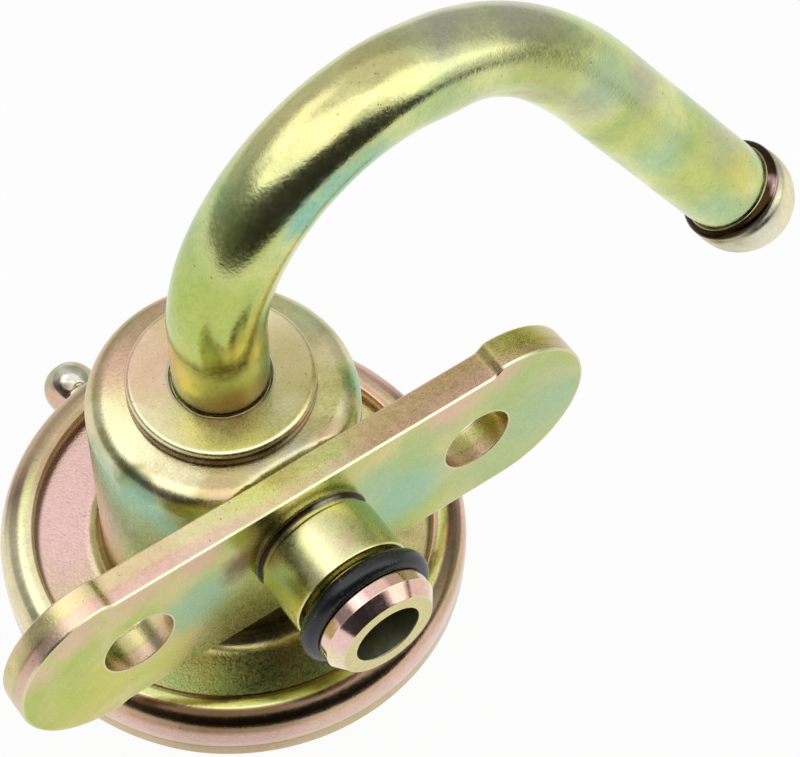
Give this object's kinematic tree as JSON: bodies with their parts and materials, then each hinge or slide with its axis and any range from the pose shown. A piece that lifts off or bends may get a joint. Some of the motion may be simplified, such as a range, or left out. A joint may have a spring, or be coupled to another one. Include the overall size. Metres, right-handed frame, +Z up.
{
  "type": "fuel pressure regulator",
  "caption": "Plated steel fuel pressure regulator: diaphragm can with a rolled rim, two-bolt plate, O-ring inlet, bent return pipe and vacuum nipple.",
  "frame": {"origin": "midway between the bolt holes, on the front face of the mounting plate and on the inlet's axis", "axes": "+Z up along the can, -Y out of the plate's front face along the inlet, +X along the plate"},
  "size_m": [0.0814, 0.0522, 0.0653],
  "materials": {
    "upper_can_chromate": "satin yellow chromate plating",
    "lower_cup_chromate": "satin yellow chromate plating",
    "pipe_collar_chromate": "satin yellow chromate plating",
    "return_tube_chromate": "satin yellow chromate plating",
    "mounting_plate_chromate": "satin yellow chromate plating",
    "inlet_spigot_chromate": "satin yellow chromate plating",
    "vacuum_nipple_chromate": "satin yellow chromate plating",
    "braze": "plated braze fillet",
    "black_rubber": "matte rubber",
    "diaphragm_fabric": "rubberised fabric",
    "bare_steel": "turned and stamped steel",
    "spring_steel": "drawn spring wire"
  },
  "bodies": {
    "housing": {"upper_can": "upper_can_chromate", "lower_cup": "lower_cup_chromate", "pipe_collar": "pipe_collar_chromate", "return_tube": "return_tube_chromate", "mounting_plate": "mounting_plate_chromate", "inlet_spigot": "inlet_spigot_chromate", "vacuum_nipple": "vacuum_nipple_chromate", "tube_braze": "braze", "spigot_braze": "braze", "nipple_braze": "braze", "o_ring": "black_rubber", "diaphragm": "diaphragm_fabric", "valve_seat": "bare_steel", "spring_base": "bare_steel", "main_spring": "spring_steel"},
    "valve": {"diaphragm_washer": "bare_steel", "spring_cup": "bare_steel", "stake_washer": "bare_steel", "valve_holder": "bare_steel", "ball_spring": "spring_steel", "ball_retainer": "bare_steel"},
    "valve_tip": {"valve_ball": "bare_steel", "valve_disc": "bare_steel"}
  },
  "joints": [
    {"name": "valve_lift", "type": "slide", "parent": "housing", "child": "valve", "axis": [0, 0, -1], "range_m": [0, 0.0008], "stiffness_N_per_m": 8000, "deforming": ["main_spring", "diaphragm"]},
    {"name": "valve_tilt", "type": "hinge", "parent": "valve", "child": "valve_tip", "pos_m": [0, 0.01273, -0.01406], "axis": [1, 0, 0], "range_deg": [-1, 1]}
  ]
}
